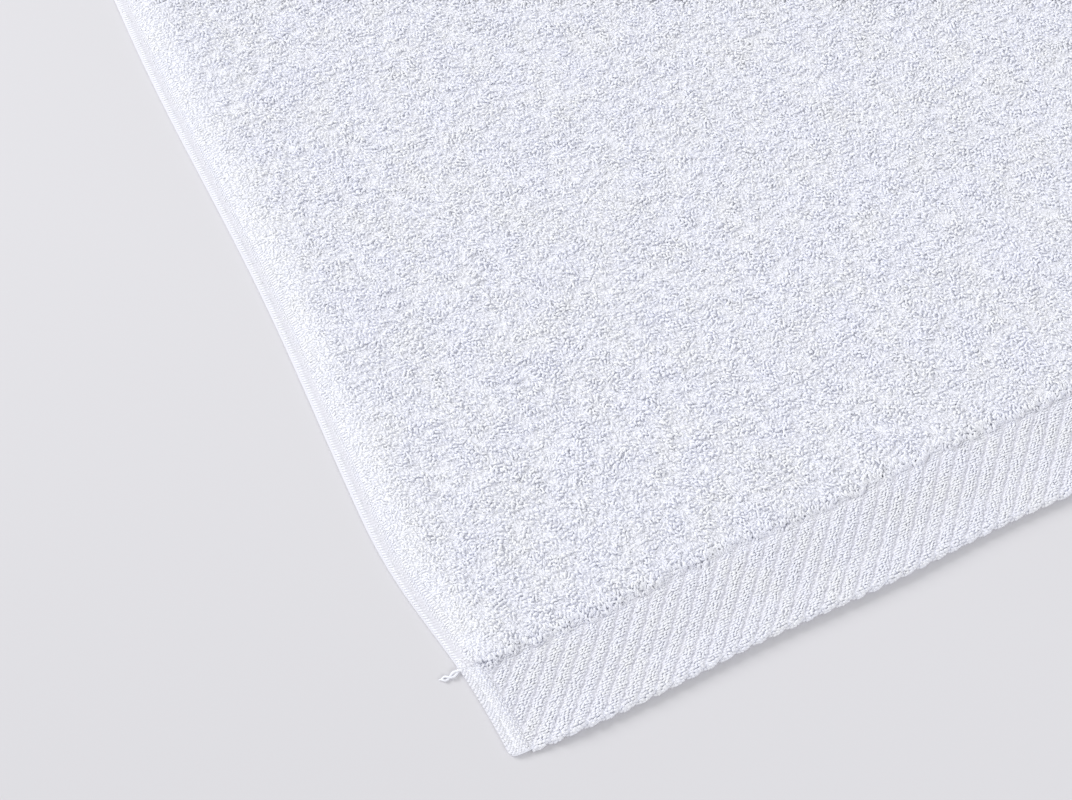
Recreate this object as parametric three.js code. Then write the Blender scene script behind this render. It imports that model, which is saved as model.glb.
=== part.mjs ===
import * as THREE from "three";

// A terry bath sheet, lying flat in one layer. It is woven in one piece, so it is one solid: a looped field
// with a flat woven border at each end, turned under along its outer edge, and a flat hem along each side.
// Millimetres, +Z up, +Y along the cloth. The origin is the middle of the underside.

// Driving dimensions
const clothWidth = 1000; // from side edge to side edge, across the looped field
const clothLength = 1500; // from end edge to end edge
const borderDepth = 50; // flat border at each end, along the cloth
const sideHemWidth = 11; // flat hem along each side, across the cloth
const terryThickness = 6.5; // from loop tips to loop tips
const borderThickness = 2.4; // border weave with its edge turned under
const sideHemThickness = 2; // turned side hem at its outer edge
const sideHemRise = 1.2; // how much the side hem climbs towards the loops
const sideShoulder = 9; // width of the rounded shoulder where the loops begin, beside a hem
const borderShoulder = 5; // the same beside a border
const borderStep = 10; // width over which the border's underside leaves the surface
const edgeRoundness = 0.46; // edge radius as a share of the thickness there

// The border is woven tighter than the loops, so it draws the side edges in towards each corner.
const drawIn = 12.4;
const drawInLength = 148;
// Each end edge falls back a little at its two corners, and the corners are blunt.
const cornerFallBack = 1.2;
const cornerWidth = 30;
const cornerRadius = 3.5;
// The side edges wander gently along the cloth: half widths shrink most at the wave's start.
const sideWave = { length: 330, height: 1.7, start: -465 };
// The end edges wander too, and reach furthest out in the middle of the cloth.
const endWave = { length: 143, height: 0.7 };

// Gentle swells of the looped face: wave length, heading from +X in degrees, height and phase in degrees.
const swells = [
  { length: 330, heading: 78, height: 0.22, phase: 20 },
  { length: 240, heading: 112, height: 0.16, phase: 130 },
  { length: 190, heading: 55, height: 0.12, phase: 250 },
];

// How high the underside of each end border stands off the surface, along the cloth's width.
const nearBorderLift = [
  { across: -500, height: 0 },
  { across: -455, height: 1.2 },
  { across: -330, height: 1.7 },
  { across: -150, height: 1.2 },
  { across: 40, height: 1.6 },
  { across: 230, height: 1.0 },
  { across: 440, height: 1.5 },
  { across: 500, height: 0 },
];
const farBorderLift = [
  { across: -500, height: 0 },
  { across: -430, height: 1.4 },
  { across: -210, height: 1.0 },
  { across: 20, height: 1.6 },
  { across: 260, height: 1.3 },
  { across: 450, height: 1.5 },
  { across: 500, height: 0 },
];

// Distances of the mesh lines from a side edge and from an end edge, up to the cloth's middle.
const linesFromSide = [
  0, 0.3, 0.9, 2, 3.5, 11, 11.6, 13, 15.5, 20, 30, 45, 68, 100, 140, 185, 235, 290, 345, 395, 447, 500,
];
const linesFromEnd = [
  0, 0.4, 1.2, 3, 10, 25, 40, 50, 51, 52.5, 55, 60, 72, 92, 120, 155, 195, 240, 290, 342, 395, 450, 508, 568,
  628, 688, 750,
];

const clamp01 = (value) => THREE.MathUtils.clamp(value, 0, 1);
const radians = THREE.MathUtils.degToRad;

// All mesh lines over one full side, as positions from -extent / 2 to extent / 2.
function fullLines(fromEdge, extent) {
  const lower = fromEdge.map((distance) => distance - extent / 2);
  const upper = fromEdge.slice(0, -1).map((distance) => extent / 2 - distance);
  return [...lower, ...upper.reverse()];
}

// A smooth curve through the rows of a lift table.
function liftAlong(table, across) {
  const next = table.findIndex((row) => across <= row.across);
  if (next <= 0) return table[next === 0 ? 0 : table.length - 1].height;
  const before = table[next - 1];
  const after = table[next];
  const share = THREE.MathUtils.smoothstep(across, before.across, after.across);
  return THREE.MathUtils.lerp(before.height, after.height, share);
}

// A quarter-round rise from 0 at the start of the loops to 1 past their shoulder.
function shoulderRise(distanceIn, width) {
  const left = 1 - clamp01(distanceIn / width);
  return Math.sqrt(1 - left * left);
}

// How far a round of this radius has fallen away, this near to its edge.
function roundedOff(distance, radius) {
  const left = Math.max(radius - distance, 0);
  return radius - Math.sqrt(radius * radius - left * left);
}

// The looped face's swell below its highest level.
function swellDepth(x, y) {
  return swells.reduce((depth, swell) => {
    const along = x * Math.cos(radians(swell.heading)) + y * Math.sin(radians(swell.heading));
    const wave = Math.sin((2 * Math.PI * along) / swell.length + radians(swell.phase));
    return depth + swell.height * (1 - wave);
  }, 0);
}

// Half the cloth's width at a place along it.
function halfWidthAt(y) {
  const fromEnd = clothLength / 2 - Math.abs(y);
  const drawn = drawIn * (1 - THREE.MathUtils.smootherstep(fromEnd, 0, drawInLength));
  const wave = 1 + Math.cos((2 * Math.PI * (y - sideWave.start)) / sideWave.length);
  return clothWidth / 2 - drawn - sideWave.height * wave;
}

// Half the cloth's length at a place across it.
function halfLengthAt(x) {
  const fromSide = clothWidth / 2 - Math.abs(x);
  const cornerShare = 1 - clamp01(fromSide / cornerWidth);
  const fallBack = cornerFallBack * cornerShare * cornerShare + roundedOff(fromSide, cornerRadius);
  const wave = 1 - Math.cos((2 * Math.PI * x) / endWave.length);
  return clothLength / 2 - fallBack - endWave.height * wave;
}

// The heights of the two faces at a nominal place in the cloth.
function facesAt(x, y) {
  const fromSide = clothWidth / 2 - Math.abs(x);
  const fromEnd = clothLength / 2 - Math.abs(y);
  const intoField = fromEnd - borderDepth;
  const borderShare = 1 - THREE.MathUtils.smoothstep(intoField, -borderStep, 0);
  const lift = liftAlong(y < 0 ? nearBorderLift : farBorderLift, x) * borderShare;

  const hemShare = clamp01(fromSide / sideHemWidth);
  const sideHemTop = sideHemThickness + sideHemRise * hemShare;
  const flatTop = THREE.MathUtils.lerp(sideHemTop, borderThickness, borderShare * hemShare) + lift;
  const rise = shoulderRise(fromSide - sideHemWidth, sideShoulder) * shoulderRise(intoField, borderShoulder);
  const terryTop = terryThickness - swellDepth(x, y);
  const top = THREE.MathUtils.lerp(flatTop, terryTop, rise);

  const rounding = roundedOff(Math.min(fromSide, fromEnd), (flatTop - lift) * edgeRoundness);
  return { top: top - rounding, underside: lift + rounding };
}

// A box of unit cells, each corner moved to its place in the cloth.
function clothGeometry() {
  const acrossLines = fullLines(linesFromSide, clothWidth);
  const alongLines = fullLines(linesFromEnd, clothLength);
  const columns = acrossLines.length - 1;
  const rows = alongLines.length - 1;
  const geometry = new THREE.BoxGeometry(columns, rows, 1, columns, rows, 1);
  const position = geometry.getAttribute("position");
  for (let i = 0; i < position.count; i += 1) {
    const x = acrossLines[Math.round(position.getX(i) + columns / 2)];
    const y = alongLines[Math.round(position.getY(i) + rows / 2)];
    const faces = facesAt(x, y);
    const placeX = (x / (clothWidth / 2)) * halfWidthAt(y);
    const placeY = (y / (clothLength / 2)) * halfLengthAt(x);
    position.setXYZ(i, placeX, placeY, position.getZ(i) > 0 ? faces.top : faces.underside);
  }
  geometry.computeVertexNormals();
  return geometry;
}

const whiteCotton = new THREE.MeshStandardMaterial({ color: 0xe9ebf2, roughness: 0.95, metalness: 0 });

const bathSheet = new THREE.Mesh(clothGeometry(), whiteCotton);
bathSheet.name = "bath_sheet";

const part = new THREE.Group();
part.add(bathSheet);

export default part;
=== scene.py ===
"""A white terry bath sheet, laid flat in one layer and seen from close above one of its corners.

The cloth is one sheet on the form of its solid. The looped pile, the floats of the border weave, the ribs
and stitches of the hems and one loose thread stand on it as meshes of their own.
Metres, +Z up, +Y along the cloth. "across" and "along" are places in the cloth before it is drawn in.
"""

import math
import random
from typing import NamedTuple

import bmesh
import bpy
import numpy as np
from bpy.props import FloatProperty, FloatVectorProperty, IntProperty, PointerProperty
from mathutils import Matrix, Vector, noise
from mathutils.geometry import interpolate_bezier


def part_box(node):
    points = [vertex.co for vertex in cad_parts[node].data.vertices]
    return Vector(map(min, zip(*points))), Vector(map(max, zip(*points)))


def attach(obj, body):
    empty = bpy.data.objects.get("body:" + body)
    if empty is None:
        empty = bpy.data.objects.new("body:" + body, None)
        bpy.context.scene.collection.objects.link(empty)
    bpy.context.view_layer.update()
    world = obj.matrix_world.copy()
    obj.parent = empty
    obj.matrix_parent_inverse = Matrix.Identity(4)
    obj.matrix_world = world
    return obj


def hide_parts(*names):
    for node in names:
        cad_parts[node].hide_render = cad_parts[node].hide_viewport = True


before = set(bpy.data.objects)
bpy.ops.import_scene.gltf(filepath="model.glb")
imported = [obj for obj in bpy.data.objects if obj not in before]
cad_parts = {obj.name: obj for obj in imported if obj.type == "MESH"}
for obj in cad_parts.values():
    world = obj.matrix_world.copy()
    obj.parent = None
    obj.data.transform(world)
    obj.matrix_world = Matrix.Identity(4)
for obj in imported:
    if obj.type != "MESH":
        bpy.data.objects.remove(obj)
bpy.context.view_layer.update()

bl_info = {
    "name": "Terry bath sheet",
    "version": (1, 0, 0),
    "blender": (4, 5, 0),
    "location": "3D Viewport > Sidebar > Bath sheet",
    "description": "Builds a white terry bath sheet with looped pile, pebble-weave borders and ribbed hems",
    "category": "Add Mesh",
}

NODE = "bath_sheet"
BODY = "root"
PICTURE_SIZE = (1072, 800)
SENSOR_WIDTH = 36
MM = 0.001
SEED = 7
MOST_TRIANGLES = 195_000


class Swell(NamedTuple):
    """A gentle wave in the looped face: millimetres and degrees."""

    length: float
    heading: float
    height: float
    phase: float


class Lift(NamedTuple):
    """How high the underside of an end border stands off the surface, in millimetres."""

    across: float
    height: float


class Dip(NamedTuple):
    """A soft hollow in the pile, in millimetres."""

    across: float
    along: float
    depth: float
    radius: float


class Relief(NamedTuple):
    """One size of lumps in the pile, in millimetres."""

    width: float
    height: float
    stretch: float
    seed: float


class LoopShape(NamedTuple):
    """One way in which a loop of pile yarn lies: its length and bend in millimetres, its width as a share."""

    length: float
    bend: float
    width: float


class Pick(NamedTuple):
    """One row of the border weave, in millimetres: the place and width of its crease, then of its hole."""

    crease: float
    gap: float
    hole: float
    hole_width: float


class Spread(NamedTuple):
    """How unevenly small shapes lie: heading, nod and roll in radians, and level in millimetres."""

    heading: float
    nod: float
    roll: float
    level: float


class FringeRow(NamedTuple):
    """One row of long loops that lean over the border: how far into the pile, and its height as a share."""

    inward: float
    height: float
    tilt: float


SWELLS = (
    Swell(330, 78, 0.22, 20),
    Swell(240, 112, 0.16, 130),
    Swell(190, 55, 0.12, 250),
)
NEAR_BORDER_LIFT = (
    Lift(-500, 0),
    Lift(-455, 1.2),
    Lift(-330, 1.7),
    Lift(-150, 1.2),
    Lift(40, 1.6),
    Lift(230, 1.0),
    Lift(440, 1.5),
    Lift(500, 0),
)
FAR_BORDER_LIFT = (
    Lift(-500, 0),
    Lift(-430, 1.4),
    Lift(-210, 1.0),
    Lift(20, 1.6),
    Lift(260, 1.3),
    Lift(450, 1.5),
    Lift(500, 0),
)
DIPS = (
    Dip(-404, -603, 1.1, 15),
    Dip(-442, -549, 0.8, 12),
    Dip(-452, -595, 0.8, 13),
    Dip(-317, -371, 0.8, 13),
    Dip(-450, -404, 0.8, 12),
)
BROAD_RELIEF = Relief(16, 0.3, 1.4, 0.3)
TUFT_RELIEFS = (
    Relief(2.3, 0.7, 2.6, 5.1),
    Relief(3.7, 1.0, 1.9, 8.2),
)
LOOP_SHAPES = (
    LoopShape(3.0, 0.0, 1.00),
    LoopShape(2.7, 0.2, 1.08),
    LoopShape(3.4, -0.3, 0.94),
    LoopShape(2.9, 0.5, 1.00),
    LoopShape(3.2, -0.5, 0.96),
    LoopShape(2.6, 1.5, 0.90),
    LoopShape(2.9, -1.3, 0.92),
    LoopShape(2.3, 0.0, 1.12),
)
STRONG_BEND = 1.0
FRINGE_SHAPES = (
    LoopShape(3.8, 0.5, 1.05),
    LoopShape(4.3, -0.8, 0.95),
    LoopShape(3.4, 1.3, 1.00),
)
FRINGE_ROWS = (
    FringeRow(-1.0, 0.16, 1.2),
    FringeRow(0.0, 0.42, 1.0),
    FringeRow(1.2, 0.66, 0.8),
    FringeRow(2.6, 0.86, 0.5),
)

# The loose thread: a few places on its way in millimetres, its plies' sides and how flat they lie
ROUTE_STEPS = 9
PLY_SIDES = 6
PLY_FLATNESS = 0.4
THREAD_ROUTE = (
    (-487.2, -696.6, 1.8),
    (-490.6, -697.4, 1.3),
    (-494.0, -698.2, 1.0),
    (-497.2, -697.6, 0.9),
    (-499.8, -696.8, 0.45),
)

# The border weave, pick by pick, and the rows of knots in a side hem's groove, in millimetres from its edge
PICKS = (
    Pick(0.00, 1.5, 0.0, 0.0),
    Pick(1.64, 1.6, 0.0, 0.0),
    Pick(3.10, 1.0, 0.0, 0.0),
    Pick(3.60, 0.85, 5.0, 0.3),
)
KNOT_ROWS = (4.7, 5.8, 6.9, 8.0)
KNOT_HEIGHT = 0.8

# Distances of the mesh lines from a side edge and from an end edge, in millimetres
LINES_FROM_SIDE = (0, 0.3, 0.9, 1.8, 3.5, 7.5, 11, 11.8, 13.2, 15, 17, 20, 25, 32, 40)
LINES_FROM_END = (0, 0.4, 1.0, 1.9, 4, 10, 18, 26, 34, 42, 50, 50.8, 52.2, 54, 56, 59, 64, 71, 80)

# How far from the shown corner each kind of work goes, in metres
LOOPED_WIDTH = 0.56
LOOPED_LENGTH = 0.62
FRINGED_WIDTH = 0.44
WOVEN_WIDTH = 0.40
FINE_MESH_WIDTH = 0.54
FINE_MESH_LENGTH = 0.58
FINE_MESH = 0.008
COARSE_MESH = 0.016

# Small distances, in millimetres
GROOVE_EDGE = 0.5
BORDER_EDGE = 0.5
BAND_EDGE = 2
SLOPE_STEP = 0.8
YARN_TIP = 0.02
HEM_CLEARANCE = 0.3
OVER_BORDER = 0.8
UNDER_FRINGE = 2
FRINGE_RISE = 0.4

# Small shapes of the hems, in millimetres. The bumps' width is a share of their pitch.
BUMP_WIDTH = 0.8
BUMP_HEIGHT = 0.8
BUMP_SINK = 0.4
STITCH_WIDTH = 0.7
STITCH_HEIGHT = 0.6
STITCH_SINK = 0.5
BUMP_LEVEL = -0.18
STITCH_LEVEL = 0.02

# Shares, and waves per metre
LEAST_SHOWN = 0.12
FOLD_SHARE = 0.9
DEEPEST_SHARE = 0.6
RELIEF_CALMED = 0.85
TURN_CALMED = 0.8
LEAN_WAVES = 22
RAGGED_WAVES = 180
FRINGE_WAVES = 150
CALM_HEIGHT = 0.4
CALM_RAISE = 0.2
COMB_START = 0.3
END_SLANT = 0.4
END_WIDENING = 0.45

# How the loops, floats and small bumps lie: angles in radians, depths and levels in millimetres, shares
LOOP_SPREAD = Spread(0.65, 0.13, 0.18, 0.17)
FRINGE_SPREAD = Spread(0.45, 0.15, 0.2, 0.2)
FLOAT_SPREAD = Spread(0.22, 0.08, 0.15, 0.09)
BUMP_SPREAD = Spread(0.2, 0.1, 0.15, 0.04)
LOOP_SIZES = ((0.85, 1.15), (0.85, 1.15), (0.9, 1.1))
FRINGE_SIZES = ((0.8, 1.1), (0.85, 1.15), (0.9, 1.2))
FLOAT_SIZES = ((0.9, 1.1), (0.85, 1.2))
KNOT_SIZES = ((0.6, 0.85), (0.6, 0.8))
BUMP_SIZES = ((0.9, 1.1), (0.9, 1.1), (0.9, 1.1))
LOOP_JITTER = 0.38
ROW_STEP = 0.87
ROWS_OUTSIDE = 1.5
COLUMNS_OUTSIDE = 4.5
PATCH_TURN = 2.2
CREASE_NOD = 0.1
COMBED_SHARE = 0.7
COMBED_SPREAD = 0.5
RAGGED_DEPTH = 2.6
FRINGE_DEPTH = 4.6
HOLLOW_DEPTH = 0.45
PICK_JITTER = 0.08
CUT_JITTER = 0.15

# Painted shade on the yarns, from 0 for cotton to 1 for shaded cotton
LOOP_SHADE = 0.08
HOLLOW_SHADE = 0.35
SHOULDER_SHADE = 0.3
FRINGE_SHADE = 0.5
FLOAT_SHADE = 0.14
CREASE_SHADE = 0.25
BUMP_SHADE = 0.45

# Painted shade in the ground sheet's zones, and the painted shade of its bare pile and weave
FIELD_SHADE = 0.2
HEM_SHADE = 0.95
GROOVE_SHADE = 0.25
EDGE_SHADE = 0.8
BARE_CREVICE_SHADE = 0.4
BARE_PILE_SHADE = 0.2
BARE_WEAVE_SHADE = 0.43
BARE_CURLS = ((0.0036, (0, 0, 0)), (0.0030, (3, 5, 0)))
PILE_BUMP = 0.8
WEAVE_BUMP = 0.6
RIB_BUMP = 0.25

# Where the ground sheet's painted shade and relief begin and end, from an edge in metres
ZONE_EDGE = 0.0008
GROOVE_SHADE_EDGE = 0.0004
PAST_ROUNDING = (0.0006, 0.0012)
HEM_SHADE_IN = (0.0011, 0.0015)
HEM_SHADE_OUT = (0.0115, 0.0095)
FIELD_SHADE_IN = (0.012, 0.022)
WEAVE_SHADE_IN = (0.001, 0.005)
EDGE_SHADE_OUT = (0.0014, 0.0010)

# Noise scales and levels of the materials
PATCH_SCALE = 45
WARM_FROM = 0.45
WARM_TO = 0.85
OWN_TONE = 0.25
FIBRE_SCALE = 1100
FIBRE_BUMP = (0.0003, 0.7)
CLOTH_BUMP = (0.001, 0.8)
CLUMP_SCALE = 130
CURL_WIDTH = 0.13
LOOPS_GONE = (0.2, 0.0)
# Painted light on the floor: how much paler it is towards +Y and +X, how much X counts, and where the change
# begins and ends
FLOOR_PAINTED_LIGHT = 1.07
FLOOR_PAINTED_LIGHT_SLANT = 1.3
FLOOR_PAINTED_LIGHT_FADE = (-1.75, -0.95)
FLOOR_CLOUDS = 0.2
FLOOR_ROUGHNESS = 0.7

# The stage, its places and sizes in metres
PICTURE_MIDDLE = (-0.39, -0.58, 0)
FLOOR_SIZE = 8
FLOOR_LEVEL = -0.0001
FILL_COLOUR = (0.965, 0.973, 1.0, 1.0)
LIGHT_BOUNCES = 10


def length(description, default):
    """A property that holds a length in metres."""
    return FloatProperty(description=description, default=default, precision=5, unit="LENGTH")


def share(description, default):
    """A property that holds a plain number."""
    return FloatProperty(description=description, default=default, precision=3)


def angle(description, degrees):
    """A property that holds an angle."""
    return FloatProperty(description=description, default=math.radians(degrees), subtype="ANGLE")


def colour(description, default):
    """A property that holds a colour."""
    return FloatVectorProperty(description=description, default=default, subtype="COLOR")


class ClothSizes(bpy.types.PropertyGroup):
    """The sizes of the cloth itself."""

    border_depth: length("Flat border at each end, along the cloth", 0.050)
    side_hem_width: length("Flat hem along each side", 0.011)
    terry_thickness: length("From loop tips to loop tips", 0.0065)
    border_thickness: length("Border weave with its edge turned under", 0.0024)
    side_hem_thickness: length("Turned side hem at its outer edge", 0.002)
    side_hem_rise: length("How much the side hem climbs towards the loops", 0.0012)
    side_shoulder: length("Rounded shoulder of the loops beside a hem", 0.009)
    border_shoulder: length("Rounded shoulder of the loops beside a border", 0.005)
    border_step: length("Where the border's underside leaves the surface", 0.010)
    edge_roundness: share("Edge radius as a share of the thickness", 0.46)
    draw_in: length("How far the border draws each side edge in", 0.0124)
    draw_in_length: length("From the end edge to where the draw-in begins", 0.148)
    corner_fall_back: length("How far an end edge falls back at a corner", 0.0012)
    corner_width: length("How far from a corner the end edge falls back", 0.030)
    corner_radius: length("Roundness of each corner", 0.0035)
    side_wave_length: length("Wave length of the side edges", 0.330)
    side_wave_height: length("Height of the side edges' waves", 0.0017)
    side_wave_start: length("Place where the side edges are furthest in", -0.465)
    end_wave_length: length("Wave length of the end edges", 0.143)
    end_wave_height: length("Height of the end edges' waves", 0.0007)


class PileLook(bpy.types.PropertyGroup):
    """The looped pile."""

    spacing: length("From one loop to the next", 0.00212)
    pile_depth: length("From the loops' tips down to the ground between them", 0.0007)
    side_lean: length("How far the loops lean out over a side hem", 0.0024)
    corner_bulge: length("How far more they lean out beside a border", 0.0060)
    bulge_length: length("From a border to where that bulge ends", 0.016)
    calm_start: length("From the pile's side in, where its loops lie flattest", 0.005)
    calm_end: length("From the pile's side in, where its loops stand freely", 0.030)
    yarn_width: length("Thickness of the pile yarn as it lies", 0.00113)
    yarn_height: length("Height of the pile yarn as it lies", 0.0008)
    loop_sink: length("How far a loop's ends go down", 0.0007)
    patch_size: length("Width of a patch whose loops lie alike", 0.008)
    comb_length: length("How far in the loops lean over the border", 0.006)
    fringe_step: length("From one long loop to the next along the border", 0.0016)
    shown_margin: length("How far full loops go past the picture", 0.004)
    fade_width: length("Where the loops sink into the ground past the picture", 0.014)


class WeaveLook(bpy.types.PropertyGroup):
    """The border weave and the hems."""

    repeats_across: IntProperty(description="Repeats of the border weave across the cloth", default=104)
    row_pitch: length("Depth of one row of the border weave", 0.0048)
    float_slant: angle("How far the floats turn from the weft", 14)
    float_length: length("Usual length of a floating weft yarn", 0.0021)
    float_lap: length("How far two floats of one pick run past each other", 0.0002)
    float_width: length("Thickness of a floating weft yarn", 0.00098)
    float_height: length("Height of a floating weft yarn", 0.0008)
    float_drop: length("From the floats' middles down to the ground between them", 0.0005)
    pillow_side: length("How far from a crease the floats reach their full height", 0.0014)
    pillow_fall: length("How much lower the floats lie beside a crease", 0.0003)
    edge_curl: length("How much more the border's end edge stands up", 0.0018)
    curl_length: length("How far in the border's end edge stands up", 0.018)
    fold_start: length("From the end edge to where its turned hem is thickest", 0.003)
    fold_end: length("From the end edge to where the turned hem is no thicker than the weave", 0.010)
    scallop: length("How far each band of the weave swells out over the end edge", 0.0002)
    rib_pitch: length("From one rib of the side hem to the next", 0.00154)
    rib_width: length("Width of one rib", 0.00088)
    rib_height: length("Thickness of one rib", 0.00085)
    rib_start: length("From the side edge to where its ribs begin", 0.0011)
    groove_start: length("From the side edge to the hem's groove", 0.0040)
    groove_end: length("From the side edge to where the groove ends", 0.0082)
    groove_depth: length("Depth of that groove", 0.0005)
    thread_width: length("Thickness of one ply of the loose thread", 0.0011)
    thread_spread: length("How far the loose thread's plies stand off its middle", 0.001)
    thread_turns: share("Turns of the loose thread's twist", 1.4)
    side_band: length("Plain band along the border's sides", 0.012)
    bump_pitch: length("From one small bump of the side band to the next", 0.0015)
    stitch_line: length("From the side edge to the hem's stitches", 0.0085)
    stitch_pitch: length("From one hem stitch to the next", 0.0027)


class Finishes(bpy.types.PropertyGroup):
    """Colours and surface finish."""

    cotton: colour("Bleached cotton", (0.905, 0.917, 0.985))
    # Painted shade: the colour that stands in for the shade deep in the pile, in creases, in the hem and
    # under the pile's edge
    shaded_cotton: colour("Cotton deep in the pile", (0.745, 0.745, 0.80))
    # Painted shade: the bare pile and weave, where no loops or floats are drawn, are darkened towards this
    # colour in place of the shade that loops and floats cast
    bare_shade_cotton: colour("The tone of the cotton where no loops or floats are drawn", (0.6, 0.605, 0.655))
    warm_cotton: colour("The less blue yarns", (0.915, 0.922, 0.948))
    floor: colour("The plain floor", (0.633, 0.626, 0.645))
    roughness: share("Roughness of the cotton", 0.92)
    sheen: share("Soft light that the fibres catch", 0.12)


class Studio(bpy.types.PropertyGroup):
    """Camera and light."""

    camera_place: FloatVectorProperty(
        description="Where the camera stands",
        default=(-0.56883, -0.94734, 0.85407),
        subtype="TRANSLATION",
    )
    camera_elevation: angle("How steeply the camera looks down", 64.5)
    camera_heading: angle("Where the camera looks, clockwise from +Y", 26)
    focal_length: share("Lens in millimetres, on a 36 mm sensor", 60.45)
    key_heading: angle("Where the key light stands, clockwise from +Y", -38)
    key_elevation: angle("Height of the key light over the floor", 32)
    key_distance: length("From the middle of the picture to either light", 7.0)
    key_size: length("Side of either square light", 3.2)
    key_power: share("Power of the key light in watts", 356)
    front_heading: angle("Where the front light stands, clockwise from +Y", 165)
    front_elevation: angle("Height of the front light over the floor", 35)
    front_power: share("Power of the front light in watts", 165)
    fill: share("Strength of the light from all round", 0.585)


class BathSheetSettings(bpy.types.PropertyGroup):
    """Everything that a user may change."""

    cloth: PointerProperty(type=ClothSizes)
    pile: PointerProperty(type=PileLook)
    weave: PointerProperty(type=WeaveLook)
    finish: PointerProperty(type=Finishes)
    studio: PointerProperty(type=Studio)


def settings():
    return bpy.context.scene.bath_sheet


def clamp01(value):
    return min(max(value, 0.0), 1.0)


def smooth(value, start, end):
    """A smooth rise from 0 at start to 1 at end."""
    part = clamp01((value - start) / (end - start))
    return part * part * (3 - 2 * part)


def smoother(value, start, end):
    """A rise from 0 at start to 1 at end that is smoother still."""
    part = clamp01((value - start) / (end - start))
    return part * part * part * (part * (part * 6 - 15) + 10)


def mixed(first, second, part):
    return first + (second - first) * part


def rounded_off(distance, radius):
    """How far a round of this radius has fallen away, this near to its edge."""
    left = clamp01((radius - distance) / radius) * radius
    return radius - math.sqrt(radius * radius - left * left)


def shoulder_rise(distance_in, width):
    """A quarter-round rise from 0 at the start of the loops to 1 past their shoulder."""
    left = 1 - clamp01(distance_in / width)
    return math.sqrt(1 - left * left)


def lumps(relief, x, y):
    """The height of one size of lumps at a place."""
    width = relief.width * MM
    place = Vector((x / (width * relief.stretch), y / width, relief.seed))
    return noise.noise(place) * relief.height * MM


class Footprint:
    """The part of the cloth that the picture shows, as the four corners of the view at pile height."""

    def __init__(self, studio, level):
        heading = studio.camera_heading
        down = studio.camera_elevation
        flat = math.cos(down)
        ahead = Vector((math.sin(heading) * flat, math.cos(heading) * flat, -math.sin(down)))
        right = Vector((math.cos(heading), -math.sin(heading), 0))
        up = right.cross(ahead)
        half_width = SENSOR_WIDTH / 2 / studio.focal_length
        half_height = half_width * PICTURE_SIZE[1] / PICTURE_SIZE[0]
        place = Vector(studio.camera_place)
        self.corners = []
        for side, rise in ((-1, -1), (1, -1), (1, 1), (-1, 1)):
            ray = ahead + right * (side * half_width) + up * (rise * half_height)
            corner = place + ray * ((level - place.z) / ray.z)
            self.corners.append(corner.xy)

    def depth_inside(self, x, y):
        """Distance to the nearest border of the view, less than 0 outside it."""
        place = Vector((x, y))
        depths = []
        for first, second in zip(self.corners, self.corners[1:] + self.corners[:1]):
            run = (second - first).normalized()
            depths.append(run.cross(place - first))
        return min(depths)


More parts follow.
